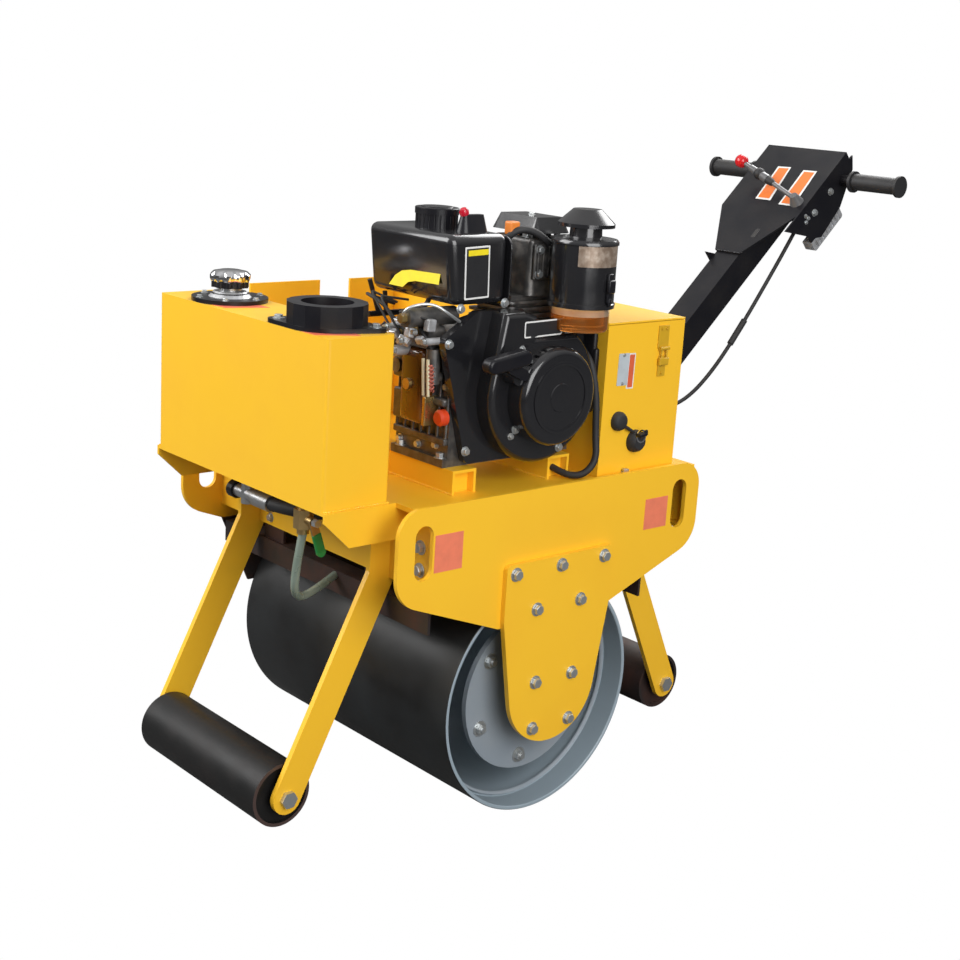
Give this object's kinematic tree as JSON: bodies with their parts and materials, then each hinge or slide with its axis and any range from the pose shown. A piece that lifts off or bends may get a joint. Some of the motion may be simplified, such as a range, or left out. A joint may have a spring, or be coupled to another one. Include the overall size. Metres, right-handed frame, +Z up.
{
  "type": "walk-behind road roller",
  "caption": "Walk-behind single-drum road roller with a steel drum, support rollers, a water tank, an open diesel engine and a long steering handle.",
  "frame": {"origin": "on the ground under the middle of the drum axle", "axes": "+Y towards the operator's handle, +X to the machine's left, +Z up"},
  "size_m": [0.672, 1.6085, 1.049],
  "materials": {
    "amber_bowl": "clear amber",
    "black_paint": "satin enamel",
    "black_plastic": "moulded",
    "brass": "machined",
    "cast_aluminium": "as cast",
    "chrome": "polished",
    "clear_hose": "translucent hose",
    "drum_paint": "satin enamel",
    "gloss_black": "gloss enamel",
    "grey_paint": "satin enamel",
    "hose_rubber": "hose",
    "rubber": "moulded",
    "yellow_paint": "gloss enamel",
    "zinc": "zinc plated"
  },
  "bodies": {
    "frame": {"air_cleaner": "black_paint", "axle_housings": "grey_paint", "breather": "chrome", "crankcase": "cast_aluminium", "cylinder": "cast_aluminium", "deck_plate": "yellow_paint", "drum_brackets": "yellow_paint", "engine_cable": "black_plastic", "engine_rails": "yellow_paint", "fan_shroud": "gloss_black", "filler_collar": "black_plastic", "front_arms": "yellow_paint", "front_beam": "yellow_paint", "front_roller_pin": "zinc", "front_tank": "yellow_paint", "fuel_cap": "black_plastic", "fuel_tank": "gloss_black", "guard_panels": "yellow_paint", "hydraulic_hose": "hose_rubber", "injection_pump": "cast_aluminium", "muffler": "black_paint", "oil_bowl": "amber_bowl", "pipe_fittings": "brass", "rear_arms": "yellow_paint", "rear_beam": "yellow_paint", "rear_box": "yellow_paint", "rear_roller_pin": "zinc", "recoil_handle": "black_plastic", "recoil_starter": "gloss_black", "rocker_cover": "cast_aluminium", "scraper_bars": "black_paint", "side_plates": "yellow_paint", "water_hose": "clear_hose"},
    "drum": {"drum_shell": "drum_paint", "drum_hubs": "grey_paint"},
    "front_roller_body": {"front_roller": "drum_paint"},
    "rear_roller_body": {"rear_roller": "drum_paint"},
    "handle": {"handle_arm": "black_paint", "handle_head": "black_paint", "handle_bar": "black_paint", "handle_grips": "rubber", "control_lever": "zinc", "head_housing": "grey_paint", "throttle_cable": "black_plastic"},
    "lid": {"box_lid": "yellow_paint"}
  },
  "joints": [
    {"name": "drum_spin", "type": "hinge", "parent": "frame", "child": "drum", "pos_m": [0, 0, 0.2125], "axis": [1, 0, 0], "continuous": true},
    {"name": "front_roller_spin", "type": "hinge", "parent": "frame", "child": "front_roller_body", "pos_m": [0, -0.46079, 0.13798], "axis": [1, 0, 0], "continuous": true},
    {"name": "rear_roller_spin", "type": "hinge", "parent": "frame", "child": "rear_roller_body", "pos_m": [0, 0.4394, 0.055], "axis": [1, 0, 0], "continuous": true},
    {"name": "handle_fold", "type": "hinge", "parent": "frame", "child": "handle", "pos_m": [0, 0.40356, 0.49414], "axis": [1, 0, 0], "range_deg": [0, 47]},
    {"name": "lid_open", "type": "hinge", "parent": "frame", "child": "lid", "pos_m": [-0.303, 0.25786, 0.83094], "axis": [0, -0.9958, 0.0918], "range_deg": [0, 100]}
  ]
}
